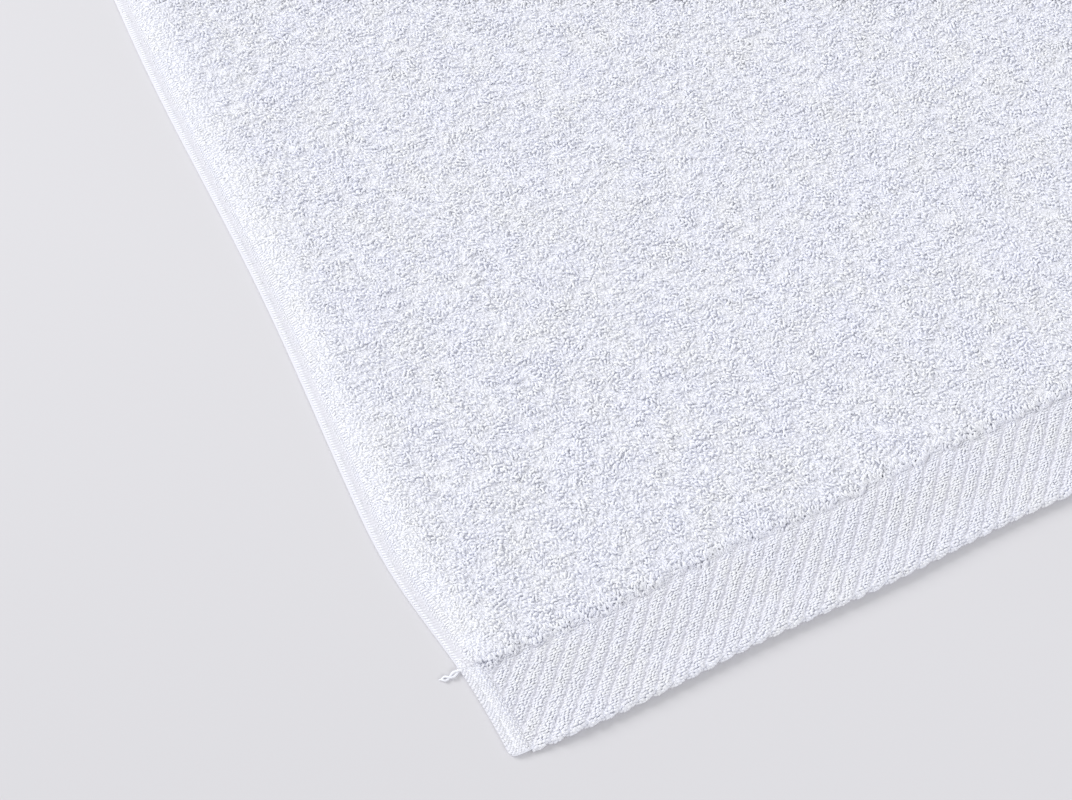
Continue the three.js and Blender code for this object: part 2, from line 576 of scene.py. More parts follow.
class ClothForm:
    """Where the faces of the cloth lie, worked out from its sizes as the solid is."""

    def __init__(self):
        for group in (settings().cloth, settings().pile, settings().weave):
            for name in type(group).__annotations__:
                setattr(self, name, getattr(group, name))
        self.half_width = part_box(NODE)[1].x
        self.half_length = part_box(NODE)[1].y
        self.footprint = Footprint(settings().studio, self.terry_thickness)

    def from_side(self, across):
        return self.half_width - abs(across)

    def from_end(self, along):
        return self.half_length - abs(along)

    def from_border(self, along):
        """Distance from a border into the looped field, less than 0 in the border."""
        return self.from_end(along) - self.border_depth

    def border_share(self, along):
        """1 in a border, to 0 where its underside meets the surface."""
        return 1 - smooth(self.from_border(along), -self.border_step, 0)

    def half_width_at(self, along):
        drawn = self.draw_in * (1 - smoother(self.from_end(along), 0, self.draw_in_length))
        wave = 1 + math.cos(math.tau * (along - self.side_wave_start) / self.side_wave_length)
        return self.half_width - drawn - self.side_wave_height * wave

    def half_length_at(self, across):
        from_side = self.from_side(across)
        corner = 1 - clamp01(from_side / self.corner_width)
        fall_back = self.corner_fall_back * corner * corner + rounded_off(from_side, self.corner_radius)
        wave = 1 - math.cos(math.tau * across / self.end_wave_length)
        return self.half_length - fall_back - self.end_wave_height * wave

    def place(self, across, along):
        """The real x and y of a place in the cloth."""
        x = across / self.half_width * self.half_width_at(along)
        y = along / self.half_length * self.half_length_at(across)
        return x, y

    def swell_depth(self, across, along):
        depth = 0
        for swell in SWELLS:
            heading = math.radians(swell.heading)
            run = across * math.cos(heading) + along * math.sin(heading)
            wave = math.sin(math.tau * run / (swell.length * MM) + math.radians(swell.phase))
            depth += swell.height * MM * (1 - wave)
        return depth

    def dip_depth(self, across, along):
        depth = 0
        for dip in DIPS:
            away = math.hypot(across - dip.across * MM, along - dip.along * MM) / (dip.radius * MM)
            depth += dip.depth * MM * math.exp(-away * away)
        return depth

    def border_lift(self, across, along):
        """How high the underside stands off the surface."""
        table = NEAR_BORDER_LIFT if along < 0 else FAR_BORDER_LIFT
        curl = self.edge_curl * (1 - smooth(self.from_end(along), 0, self.curl_length))
        for before, after in zip(table, table[1:]):
            if across <= after.across * MM:
                rise = smooth(across, before.across * MM, after.across * MM)
                height = mixed(before.height, after.height, rise) * MM
                return height * self.border_share(along) + curl * clamp01(height / MM)
        return 0

    def flat_top(self, across, along):
        """The upper face of the flat weave, over its lift."""
        from_side = self.from_side(across)
        hem = clamp01(from_side / self.side_hem_width)
        edge = GROOVE_EDGE * MM
        groove = smooth(from_side, self.groove_start - edge, self.groove_start + edge)
        groove *= 1 - smooth(from_side, self.groove_end - edge, self.groove_end + edge)
        hem_top = self.side_hem_thickness + self.side_hem_rise * hem - self.groove_depth * groove
        return mixed(hem_top, self.border_thickness, self.border_share(along) * hem)

    def fold_thickness(self, across, along):
        """How much thicker the turned end hem is than the weave beside it. It all lies underneath."""
        at_edge = 1 - smooth(self.from_end(along), self.fold_start, self.fold_end)
        return self.border_lift(across, along) * FOLD_SHARE * at_edge

    def edge_radius(self, across, along):
        """The radius of the rounded edge, a share of the thickness there."""
        return (self.flat_top(across, along) + self.fold_thickness(across, along)) * self.edge_roundness

    def edge_fall(self, across, along):
        """How far the rounded edge has fallen away from either face."""
        radius = self.edge_radius(across, along)
        return rounded_off(min(self.from_side(across), self.from_end(along)), radius)

    def along_the_fold(self, across, way):
        """The place along the cloth this far from its near end edge, measured over the rounded edge."""
        edge = -self.half_length
        radius = self.edge_radius(across, edge)
        quarter = radius * math.pi / 2
        if way > quarter:
            return edge + radius + way - quarter
        return edge + radius * (1 - math.sin((quarter - way) / radius))

    def in_from_hem(self, across, along):
        """How far inside the looped field's side a place is. The loops lean out over the hem unevenly."""
        uneven = noise.noise(Vector((math.copysign(1, across), along * LEAN_WAVES, 0.4)))
        near_border = 1 - smooth(self.from_border(along), 0, self.bulge_length)
        lean = self.side_lean * (1 + uneven) + self.corner_bulge * near_border
        return self.from_side(across) - self.side_hem_width + lean

    def calm(self, across, along):
        """1 beside a side hem, where the loops lie flat, to 0 where they stand freely."""
        return 1 - smooth(self.in_from_hem(across, along), self.calm_start, self.calm_end)

    def rise_from_hem(self, across, along):
        """From 0 at a side hem to 1 where the gentle slope of the loops beside it ends."""
        return math.sin(math.pi / 2 * clamp01(self.in_from_hem(across, along) / (2 * self.side_shoulder)))

    def pile_rise(self, across, along):
        """From 0 outside the looped field to 1 inside it."""
        from_border = shoulder_rise(self.from_border(along), self.border_shoulder)
        return self.rise_from_hem(across, along) * from_border

    def pile_top(self, across, along):
        """The height of the loop tips, with the pile's broad lumps."""
        flat = self.flat_top(across, along) + self.border_lift(across, along)
        terry = self.terry_thickness - self.swell_depth(across, along) - self.dip_depth(across, along)
        terry += lumps(BROAD_RELIEF, across, along)
        return mixed(flat, terry, self.pile_rise(across, along))

    def loops_share(self, x, y):
        """1 where real loops stand at their full height, falling to 0 past the picture."""
        inside = self.footprint.depth_inside(x, y) + self.shown_margin
        return smooth(inside, -self.fade_width, 0)

    def ground_top(self, across, along):
        """The upper face of the ground sheet, on which loops, floats and ribs stand."""
        lift = self.border_lift(across, along)
        flat = self.flat_top(across, along)
        top = self.pile_top(across, along)
        depth = self.pile_depth * (1 - RELIEF_CALMED * self.calm(across, along))
        top -= min(depth, (top - flat - lift) * DEEPEST_SHARE)
        top -= self.under_floats(across, along)
        return top - self.edge_fall(across, along)

    def under_floats(self, across, along):
        """How far the near border's ground lies below the tops of the floats that stand on it."""
        in_border = smooth(-self.from_border(along), -BORDER_EDGE * MM, BORDER_EDGE * MM)
        in_floats = smooth(self.from_side(across), self.side_band - BAND_EDGE * MM, self.side_band)
        near = 1 if along < 0 else 0
        return (self.float_height * 0.5 + self.float_drop) * in_border * in_floats * near

    def underside(self, across, along):
        lift = self.border_lift(across, along) - self.fold_thickness(across, along)
        return lift + self.edge_fall(across, along)

    def slope(self, height, across, along):
        """The upward direction of a face whose height is given by a function of the place."""
        step = SLOPE_STEP * MM
        rise_across = height(across + step, along) - height(across - step, along)
        rise_along = height(across, along + step) - height(across, along - step)
        return Vector((-rise_across, -rise_along, 2 * step)).normalized()


def mesh_lines(near_edge, extent, shown):
    """Mesh lines over one full side: close at both edges, fine over what is shown, coarse over the rest."""
    edge = [distance * MM for distance in near_edge]
    lines = list(edge)
    for start, end, step in ((edge[-1], shown, FINE_MESH), (shown, extent - edge[-1], COARSE_MESH)):
        count = math.ceil((end - start) / step)
        lines += [mixed(start, end, i / count) for i in range(1, count + 1)]
    lines += [extent - distance for distance in reversed(edge[:-1])]
    return [line - extent / 2 for line in lines]


def new_object(name, mesh, material):
    """A shown piece with its one material, at the origin."""
    mesh.materials.clear()
    mesh.materials.append(material)
    mesh.polygons.foreach_set("use_smooth", [True] * len(mesh.polygons))
    piece = bpy.data.objects.new(name, mesh)
    bpy.context.scene.collection.objects.link(piece)
    return piece


def add_piece(name, mesh, material):
    """A piece of the bath sheet, riding on its body."""
    piece = new_object(name, mesh, material)
    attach(piece, BODY)
    return piece


def path_frames(path):
    """A matrix at each point of a path, with its z axis along the path and no sudden turn between two."""
    frames = []
    x_axis = Vector((0, 1, 0))
    for i, point in enumerate(path):
        before = path[max(i - 1, 0)]
        after = path[min(i + 1, len(path) - 1)]
        z_axis = (after - before).normalized()
        x_axis = (x_axis - z_axis * x_axis.dot(z_axis)).normalized()
        y_axis = z_axis.cross(x_axis)
        turn = Matrix((x_axis, y_axis, z_axis)).transposed().to_4x4()
        frames.append(Matrix.Translation(point) @ turn)
    return frames


def add_tube(bm, path, radii, sides):
    """A closed tube with a flat side up: a capped ring at the path's start is pulled along it."""
    frames = [turn @ Matrix.Scale(radius, 4) for turn, radius in zip(path_frames(path), radii)]
    start = frames[0] @ Matrix.Rotation(math.pi / 2 - math.pi / sides, 4, "Z")
    ring = bmesh.ops.create_circle(bm, cap_ends=True, segments=sides, radius=1, matrix=start)
    end = ring["verts"][0].link_faces[0]
    inside = []
    for here, there in zip(frames, frames[1:]):
        pulled = bmesh.ops.extrude_face_region(bm, geom=[end])["geom"]
        corners = [item for item in pulled if isinstance(item, bmesh.types.BMVert)]
        bmesh.ops.transform(bm, matrix=there @ here.inverted(), verts=corners)
        inside.append(end)
        end = next(item for item in pulled if isinstance(item, bmesh.types.BMFace))
    bmesh.ops.delete(bm, geom=inside[1:], context="FACES_ONLY")


def mesh_from(name, bm):
    """Turns a finished bmesh into a mesh with its faces pointing out."""
    bmesh.ops.recalc_face_normals(bm, faces=bm.faces)
    mesh = bpy.data.meshes.new(name)
    bm.to_mesh(mesh)
    bm.free()
    return mesh


def bean(name, points, width, height):
    """A plump length of yarn: a square tube with both tips drawn to a point, and flattened."""
    tip = YARN_TIP * MM
    radius = width / 2 / math.cos(math.pi / 4)
    path = [Vector(point) for point in points]
    bm = bmesh.new()
    add_tube(bm, path, [tip] + [radius] * (len(path) - 2) + [tip], 4)
    bmesh.ops.remove_doubles(bm, verts=bm.verts, dist=4 * tip)
    bmesh.ops.scale(bm, vec=(1, 1, height / width), verts=bm.verts)
    return mesh_from(name, bm)


class Spot(NamedTuple):
    """Where one small shape goes, which of the shapes it is, its yarn's tone, and the painted shade on it."""

    place: tuple
    turn: tuple
    size: tuple
    shape: int
    tone: float
    shade: float = 0.0


def store(mesh, name, kind, values):
    """Writes one value for each vertex of a mesh."""
    layer = mesh.attributes.new(name, kind, "POINT")
    field = "vector" if kind == "FLOAT_VECTOR" else "value"
    layer.data.foreach_set(field, np.array(values).ravel())


def scatter_tree(shapes):
    """Geometry nodes that put a shape of the collection on each point, and make them all one mesh."""
    tree = bpy.data.node_groups.new("scatter", "GeometryNodeTree")
    tree.interface.new_socket("Geometry", in_out="INPUT", socket_type="NodeSocketGeometry")
    tree.interface.new_socket("Geometry", in_out="OUTPUT", socket_type="NodeSocketGeometry")
    start = tree.nodes.new("NodeGroupInput")
    end = tree.nodes.new("NodeGroupOutput")
    source = tree.nodes.new("GeometryNodeCollectionInfo")
    source.inputs["Collection"].default_value = shapes
    source.inputs["Separate Children"].default_value = True
    source.inputs["Reset Children"].default_value = True
    to_points = tree.nodes.new("GeometryNodeInstanceOnPoints")
    to_points.inputs["Pick Instance"].default_value = True
    to_turn = tree.nodes.new("FunctionNodeEulerToRotation")
    realize = tree.nodes.new("GeometryNodeRealizeInstances")
    tree.links.new(start.outputs[0], to_points.inputs["Points"])
    tree.links.new(source.outputs[0], to_points.inputs["Instance"])
    for name, kind, socket in (
        ("shape", "INT", to_points.inputs["Instance Index"]),
        ("turn", "FLOAT_VECTOR", to_turn.inputs[0]),
        ("size", "FLOAT_VECTOR", to_points.inputs["Scale"]),
    ):
        value = tree.nodes.new("GeometryNodeInputNamedAttribute")
        value.data_type = kind
        value.inputs["Name"].default_value = name
        tree.links.new(value.outputs[0], socket)
    tree.links.new(to_turn.outputs[0], to_points.inputs["Rotation"])
    tree.links.new(to_points.outputs[0], realize.inputs[0])
    tree.links.new(realize.outputs[0], end.inputs[0])
    return tree


def scatter(name, spots, shape_meshes):
    """One mesh with a small shape on every spot."""
    shapes = bpy.data.collections.new(name + "_shapes")
    bpy.context.scene.collection.children.link(shapes)
    helpers = []
    for i, mesh in enumerate(shape_meshes):
        helper = bpy.data.objects.new(f"{name}_shape_{i:02d}", mesh)
        shapes.objects.link(helper)
        helpers.append(helper)
    points = bpy.data.meshes.new(name + "_points")
    points.vertices.add(len(spots))
    points.vertices.foreach_set("co", np.array([spot.place for spot in spots]).ravel())
    store(points, "turn", "FLOAT_VECTOR", [spot.turn for spot in spots])
    store(points, "size", "FLOAT_VECTOR", [spot.size for spot in spots])
    store(points, "shape", "INT", [spot.shape for spot in spots])
    store(points, "tone", "FLOAT", [spot.tone for spot in spots])
    store(points, "shade", "FLOAT", [spot.shade for spot in spots])
    carrier = bpy.data.objects.new(name + "_carrier", points)
    bpy.context.scene.collection.objects.link(carrier)
    helpers.append(carrier)
    tree = scatter_tree(shapes)
    carrier.modifiers.new("scatter", "NODES").node_group = tree
    bpy.context.view_layer.update()
    graph = bpy.context.evaluated_depsgraph_get()
    mesh = bpy.data.meshes.new_from_object(
        carrier.evaluated_get(graph), preserve_all_data_layers=True, depsgraph=graph
    )
    mesh.name = name
    for helper in helpers:
        bpy.data.objects.remove(helper)
    bpy.data.collections.remove(shapes)
    bpy.data.node_groups.remove(tree)
    return mesh


def triangle_count(mesh):
    return sum(len(face.vertices) - 2 for face in mesh.polygons)


def add_scattered(name, spots, shapes):
    """Shapes on their spots, in as few pieces as their triangles allow."""
    counts = [triangle_count(shape) for shape in shapes]
    total = sum(counts[spot.shape] for spot in spots)
    pieces = math.ceil(total / MOST_TRIANGLES)
    each = math.ceil(len(spots) / pieces)
    for i in range(pieces):
        number = f"_{i + 1}" if pieces > 1 else ""
        mesh = scatter(name + number, spots[i * each : (i + 1) * each], shapes)
        add_piece(name + number, mesh, yarn_material())
    print(name, len(spots), "shapes", total, "triangles")


class Channel:
    """A number that changes over a surface. Arithmetic on it adds the Math nodes that work it out."""

    def __init__(self, finish, socket):
        self.finish = finish
        self.socket = socket

    def __add__(self, other):
        return self.finish.math("ADD", self, other)

    def __sub__(self, other):
        return self.finish.math("SUBTRACT", self, other)

    def __rsub__(self, other):
        return self.finish.math("SUBTRACT", other, self)

    def __mul__(self, other):
        return self.finish.math("MULTIPLY", self, other)

    def __truediv__(self, other):
        return self.finish.math("DIVIDE", self, other)

    def __abs__(self):
        return self.finish.math("ABSOLUTE", self)


class Finish:
    """The node tree of one material, built in expressions."""

    def __init__(self, name):
        self.material = bpy.data.materials.new(name)
        self.material.use_nodes = True
        self.tree = self.material.node_tree
        self.tree.nodes.clear()
        self.shader = self.node("ShaderNodeBsdfPrincipled")
        output = self.node("ShaderNodeOutputMaterial")
        self.tree.links.new(self.shader.outputs[0], output.inputs["Surface"])

    def node(self, kind, options=None, inputs=None):
        """Adds a node: its options are set first, then the values or links of its sockets."""
        made = self.tree.nodes.new(kind)
        for name, value in (options or {}).items():
            setattr(made, name, value)
        for name, value in (inputs or {}).items():
            self.plug(made.inputs[name], value)
        return made

    def plug(self, socket, value):
        if isinstance(value, Channel):
            self.tree.links.new(value.socket, socket)
        elif isinstance(value, bpy.types.NodeSocket):
            self.tree.links.new(value, socket)
        else:
            socket.default_value = value

    def math(self, operation, *values):
        made = self.node("ShaderNodeMath", {"operation": operation})
        for socket, value in zip(made.inputs, values):
            self.plug(socket, value)
        return Channel(self, made.outputs[0])

    def smooth(self, value, start, end):
        """A smooth rise from 0 at start to 1 at end."""
        made = self.node(
            "ShaderNodeMapRange",
            {"interpolation_type": "SMOOTHSTEP"},
            {"Value": value, "From Min": start, "From Max": end},
        )
        return Channel(self, made.outputs[0])

    def noise(self, place, scale, detail=2.0, roughness=0.5, distortion=0.0):
        inputs = {"Vector": place, "Scale": scale, "Detail": detail, "Roughness": roughness}
        made = self.node("ShaderNodeTexNoise", None, {**inputs, "Distortion": distortion})
        return Channel(self, made.outputs[0])

    def mix(self, first, second, factor):
        """A blend of two colours."""
        made = self.node("ShaderNodeMix", {"data_type": "RGBA"})
        self.plug(made.inputs["Factor"], factor)
        self.plug(made.inputs["A"], first)
        self.plug(made.inputs["B"], second)
        return made.outputs["Result"]

    def bump(self, height, distance, strength=1.0):
        inputs = {"Height": height, "Distance": distance, "Strength": strength}
        return self.node("ShaderNodeBump", None, inputs).outputs[0]

    def place_in_cloth(self):
        """What the sheet's mesh stores: its place in the cloth, then across, along and the loops' share."""
        stored = self.node("ShaderNodeAttribute", {"attribute_name": "cloth_place"}).outputs["Vector"]
        parts = self.node("ShaderNodeSeparateXYZ", None, {"Vector": stored})
        return stored, *(Channel(self, parts.outputs[name]) for name in "XYZ")

    def object_place(self):
        return self.node("ShaderNodeTexCoord").outputs["Object"]

    def stored(self, name):
        """A value that the mesh stores at each vertex."""
        return Channel(self, self.node("ShaderNodeAttribute", {"attribute_name": name}).outputs["Fac"])


def rgba(values):
    return (*values, 1.0)


def finished(finish, tint, normal):
    """A cotton material with its tint and relief, and the finish that all the cotton has."""
    look = settings().finish
    surface = {"Base Color": tint, "Normal": normal, "Roughness": look.roughness, "Sheen Weight": look.sheen}
    for name, value in surface.items():
        finish.plug(finish.shader.inputs[name], value)
    return finish.material


def yarn_material():
    """Loose cotton yarn: every loop has its own tone, painted shade as its spot gives it, and fine fibres."""
    look = settings().finish
    finish = Finish("cotton_yarn")
    here = finish.object_place()
    patches = finish.noise(here, PATCH_SCALE, 2)
    warmth = finish.smooth(patches + finish.stored("tone") * OWN_TONE, WARM_FROM, WARM_TO)
    tint = finish.mix(rgba(look.cotton), rgba(look.warm_cotton), warmth)
    # Painted shade: each yarn is darkened towards shaded cotton by its spot's shade
    tint = finish.mix(tint, rgba(look.shaded_cotton), finish.stored("shade"))
    fibres = finish.noise(here, FIBRE_SCALE, 2, 0.7)
    return finished(finish, tint, finish.bump(fibres, *FIBRE_BUMP))


def border_pattern(finish, across, along, form):
    """The relief of the border weave, charted as in its floats."""
    pitch = 2 * form.half_width / form.repeats_across
    height = 0.0
    for shift in (0.0, 0.5):
        row = finish.math("FLOOR", along / form.row_pitch + shift)
        turn = across / pitch - row * 0.5
        in_cell = (turn - finish.math("FLOOR", turn)) * pitch - pitch / 2
        in_row = along - (row + 0.5 - shift) * form.row_pitch
        wave = finish.math("COSINE", in_cell * (math.tau / pitch)) * 0.5 + 0.5
        rise = 1 - abs(in_row) / (form.row_pitch * 0.5)
        height = finish.math("MAXIMUM", wave * rise, height)
    return height


def curls(finish, place, size, offset):
    """Curly ridges about as wide as the pile yarn: the places where a smooth noise crosses its middle."""
    moved = finish.node("ShaderNodeVectorMath", {"operation": "ADD"})
    finish.plug(moved.inputs[0], place)
    finish.plug(moved.inputs[1], offset)
    field = finish.noise(moved.outputs[0], 1 / size, 1.0, 0.4, 0.6)
    away = abs(field - 0.5)
    return 1 - finish.smooth(away, 0.0, CURL_WIDTH)


def cloth_material(form):
    """The ground sheet: bumped pile where no loops stand, ribbed hems and the border weave, with painted
    shade between loops and floats, in the hem, at the side edge and over the bare pile and weave.
    """
    look = settings().finish
    finish = Finish("cotton_cloth")
    stored, across, along, loops = finish.place_in_cloth()
    from_side = form.half_width - abs(across)
    from_end = form.half_length - abs(along)
    past_border = finish.smooth(from_end, form.border_depth, form.border_depth + ZONE_EDGE)
    in_field = finish.smooth(from_side, form.side_hem_width, form.side_hem_width + ZONE_EDGE) * past_border
    in_weave = finish.smooth(from_end, form.border_depth, form.border_depth - ZONE_EDGE)
    in_weave = in_weave * finish.smooth(from_side, form.side_band - MM, form.side_band)
    in_weave = in_weave * finish.smooth(from_end, *PAST_ROUNDING)
    in_ribs = finish.smooth(from_side, form.side_band, form.side_band - MM)
    in_ribs = in_ribs * finish.smooth(from_side, *PAST_ROUNDING)
    in_groove = finish.smooth(from_side, form.groove_start - GROOVE_SHADE_EDGE, form.groove_start)
    in_groove = in_groove * finish.smooth(from_side, form.groove_end + GROOVE_SHADE_EDGE, form.groove_end)
    in_hem = finish.smooth(from_side, *HEM_SHADE_IN) * finish.smooth(from_side, *HEM_SHADE_OUT)

    pile = finish.math("MAXIMUM", *(curls(finish, stored, size, offset) for size, offset in BARE_CURLS))
    clumps = finish.noise(stored, CLUMP_SCALE, 1.0)
    ribs = finish.math("COSINE", along * (math.tau / form.rib_pitch)) * 0.5 + 0.5
    weave = border_pattern(finish, across, along, form)
    height = pile * in_field * PILE_BUMP + clumps * in_field
    height = height + weave * in_weave * WEAVE_BUMP + ribs * in_ribs * RIB_BUMP

    # Painted shade: where no loops or floats are drawn, the bare pile and weave are darkened, more between
    # their bumped curls and ridges, in place of the shade the loops and floats would cast
    bare_shade = ((1 - pile) * BARE_CREVICE_SHADE + BARE_PILE_SHADE) * in_field
    bare_shade = bare_shade + ((1 - weave) * BARE_CREVICE_SHADE + BARE_WEAVE_SHADE) * in_weave
    # Painted shade: the ground between the loops, away from a side hem, and between the floats, away from the
    # end edge, is darker
    covered = in_field * finish.smooth(from_side, *FIELD_SHADE_IN) * FIELD_SHADE
    covered = covered + in_weave * finish.smooth(from_end, *WEAVE_SHADE_IN)
    # Painted shade: the side hem between its ribs is darker, and its groove darker still
    hem_shade = (in_hem * HEM_SHADE + in_groove * GROOVE_SHADE) * past_border
    # Painted shade: the rounded side edge, which faces the key light, is darkened
    at_edge = finish.smooth(from_side, *EDGE_SHADE_OUT) * EDGE_SHADE
    # Painted shade, all told: under the loops and floats, in the hem and at the side edge; the tint is mixed
    # towards shaded cotton by it
    hollow = covered * loops + hem_shade + at_edge
    patches = finish.noise(stored, PATCH_SCALE, 2)
    warmth = finish.smooth(patches, WARM_FROM, WARM_TO)
    tint = finish.mix(rgba(look.cotton), rgba(look.warm_cotton), warmth)
    tint = finish.mix(tint, rgba(look.shaded_cotton), hollow)
    tint = finish.mix(tint, rgba(look.bare_shade_cotton), bare_shade * finish.smooth(loops, *LOOPS_GONE))
    return finished(finish, tint, finish.bump(height, *CLOTH_BUMP))


def floor_material():
    look = settings().finish
    finish = Finish("pale_floor")
    here = finish.object_place()
    parts = finish.node("ShaderNodeSeparateXYZ", None, {"Vector": here})
    # Painted light: the floor is paler towards +Y and +X, for how the light falls over it; faint noise clouds
    # its tone as well
    away = Channel(finish, parts.outputs["Y"]) + Channel(finish, parts.outputs["X"]) * FLOOR_PAINTED_LIGHT_SLANT
    away = finish.smooth(away, *FLOOR_PAINTED_LIGHT_FADE)
    painted_light_floor = tuple(FLOOR_PAINTED_LIGHT * part for part in look.floor)
    tint = finish.mix(rgba(look.floor), rgba(painted_light_floor), away + finish.noise(here, 3, 2) * FLOOR_CLOUDS)
    finish.plug(finish.shader.inputs["Base Color"], tint)
    finish.plug(finish.shader.inputs["Roughness"], FLOOR_ROUGHNESS)
    return finish.material


def add_light(name, studio, heading, elevation, power):
    """A square soft light, turned towards the middle of the picture."""
    light = bpy.data.lights.new(name, "AREA")
    light.shape = "SQUARE"
    light.size = studio.key_size
    light.energy = power
    lamp = bpy.data.objects.new(name, light)
    flat = math.cos(elevation)
    toward = Vector((math.sin(heading) * flat, math.cos(heading) * flat, math.sin(elevation)))
    lamp.location = Vector(PICTURE_MIDDLE) + toward * studio.key_distance
    lamp.rotation_euler = toward.to_track_quat("Z", "Y").to_euler()
    bpy.context.scene.collection.objects.link(lamp)


class BATHSHEET_OT_stage(bpy.types.Operator):
    """Set the camera, the light and the floor"""

    bl_idname = "bathsheet.stage"
    bl_label = "Stage"

    def execute(self, context):
        scene = context.scene
        studio = settings().studio
        lens = bpy.data.cameras.new("camera")
        lens.lens = studio.focal_length
        lens.sensor_width = SENSOR_WIDTH
        camera = bpy.data.objects.new("camera", lens)
        camera.location = studio.camera_place
        camera.rotation_euler = (math.pi / 2 - studio.camera_elevation, 0, -studio.camera_heading)
        scene.collection.objects.link(camera)
        scene.camera = camera

        add_light("key_light", studio, studio.key_heading, studio.key_elevation, studio.key_power)
        add_light("front_light", studio, studio.front_heading, studio.front_elevation, studio.front_power)
        world = bpy.data.worlds.new("studio_fill")
        world.use_nodes = True
        background = world.node_tree.nodes["Background"]
        background.inputs["Color"].default_value = FILL_COLOUR
        background.inputs["Strength"].default_value = studio.fill
        scene.world = world
        scene.view_settings.view_transform = "Standard"
        scene.cycles.diffuse_bounces = LIGHT_BOUNCES

        bm = bmesh.new()
        bmesh.ops.create_grid(bm, x_segments=1, y_segments=1, size=FLOOR_SIZE)
        bmesh.ops.translate(bm, vec=(0, 0, FLOOR_LEVEL), verts=bm.verts)
        new_object("floor", mesh_from("floor", bm), floor_material())
        return {"FINISHED"}


def loop_shape(shape, form):
    """One loop of pile yarn, up out of the ground weave, over and down again."""
    half = shape.length * MM / 2
    bend = shape.bend * MM
    low = -form.loop_sink
    if abs(shape.bend) < STRONG_BEND:
        middle = [(-half * 0.5, bend * 0.4, 0), (half * 0.5, bend * 0.4, 0)]
    else:
        middle = [(-half * 0.62, bend * 0.1, 0), (0, bend * 0.6, 0.05 * MM), (half * 0.62, bend * 0.1, 0)]
    path = [(-half, -bend * 0.4, low), *middle, (half, -bend * 0.4, low)]
    return bean("loop", path, form.yarn_width * shape.width, form.yarn_height)


def turn_on(upward, heading, pitch, roll):
    """The turn of a shape that lies on a slope along a heading, then nods and rolls."""
    side = upward.cross(Vector((math.cos(heading), math.sin(heading), 0))).normalized()
    base = Matrix((side.cross(upward), side, upward)).transposed()
    return tuple((base @ Matrix.Rotation(pitch, 3, "Y") @ Matrix.Rotation(roll, 3, "X")).to_euler())


def varied(rng, ranges):
    """A random number within each range."""
    return tuple(rng.uniform(low, high) for low, high in ranges)


def uneven_turn(rng, upward, heading, spread, nod=0):
    """The turn of a shape whose heading, nod and roll are partly random."""
    heading += rng.gauss(0, spread.heading)
    nod += rng.gauss(0, spread.nod)
    return turn_on(upward, heading, nod, rng.gauss(0, spread.roll))


def tuft_height(form, across, along):
    """How far the tufts raise or lower the loops at a place."""
    free = 1 - RELIEF_CALMED * form.calm(across, along)
    height = sum(lumps(relief, across, along) for relief in TUFT_RELIEFS)
    return height * form.pile_rise(across, along) * free


def loop_spots(form):
    """Every loop of the pile that the picture shows, row by row."""
    rng = random.Random(SEED)
    spots = []
    row_step = form.spacing * ROW_STEP
    rows = int(LOOPED_LENGTH / row_step)
    columns = int(LOOPED_WIDTH / form.spacing)

    def tips(across, along):
        return form.pile_top(across, along) + tuft_height(form, across, along)

    for row in range(rows):
        for column in range(columns):
            along = -form.half_length + form.border_depth + (row - ROWS_OUTSIDE) * row_step
            columns_in = column - COLUMNS_OUTSIDE + (row % 2) * 0.5
            across = -form.half_width + form.side_hem_width + columns_in * form.spacing
            along += rng.uniform(-LOOP_JITTER, LOOP_JITTER) * row_step
            across += rng.uniform(-LOOP_JITTER, LOOP_JITTER) * form.spacing
            x, y = form.place(across, along)
            shown = form.loops_share(x, y)
            if shown < LEAST_SHOWN:
                continue
            from_border = form.from_border(along)
            ragged = noise.noise(Vector((across, along, 0.7)) * RAGGED_WAVES) * RAGGED_DEPTH * MM
            over_hem = form.in_from_hem(across, along) < HEM_CLEARANCE * MM
            if over_hem or from_border + ragged < -OVER_BORDER * MM:
                continue
            patch = noise.noise(Vector((across, along, 0.9)) / form.patch_size)
            heading = patch * PATCH_TURN + rng.gauss(0, LOOP_SPREAD.heading)
            combed = 1 - smooth(from_border, COMB_START * form.comb_length, form.comb_length)
            combed *= rng.random() < COMBED_SHARE
            heading = mixed(heading, math.pi / 2 + rng.gauss(0, COMBED_SPREAD), combed)
            upward = form.slope(tips, across, along)
            # Painted shade: loops low between the tufts, and loops on the shoulder beside the border, are
            # mixed towards shaded cotton, with a little on every loop
            below = -tuft_height(form, across, along) / (HOLLOW_DEPTH * MM)
            shade = LOOP_SHADE + HOLLOW_SHADE * clamp01(below)
            shade += SHOULDER_SHADE * (1 - shoulder_rise(from_border, form.border_shoulder))
            free = 1 - TURN_CALMED * form.calm(across, along)
            flatness = mixed(CALM_HEIGHT, 1, free)
            nod = rng.gauss(0, LOOP_SPREAD.nod) * free
            turn = turn_on(upward, heading, nod, rng.gauss(0, LOOP_SPREAD.roll) * free)
            level = tips(across, along) - form.yarn_height * 0.5 * flatness
            level += (rng.gauss(0, LOOP_SPREAD.level) * free + CALM_RAISE * (1 - free)) * MM
            level -= (1 - shown) * 2 * form.yarn_height
            wide, deep, high = varied(rng, LOOP_SIZES)
            shape = rng.randrange(len(LOOP_SHAPES))
            spots.append(Spot((x, y, level), turn, (wide, deep, high * flatness), shape, rng.random(), shade))
    return spots


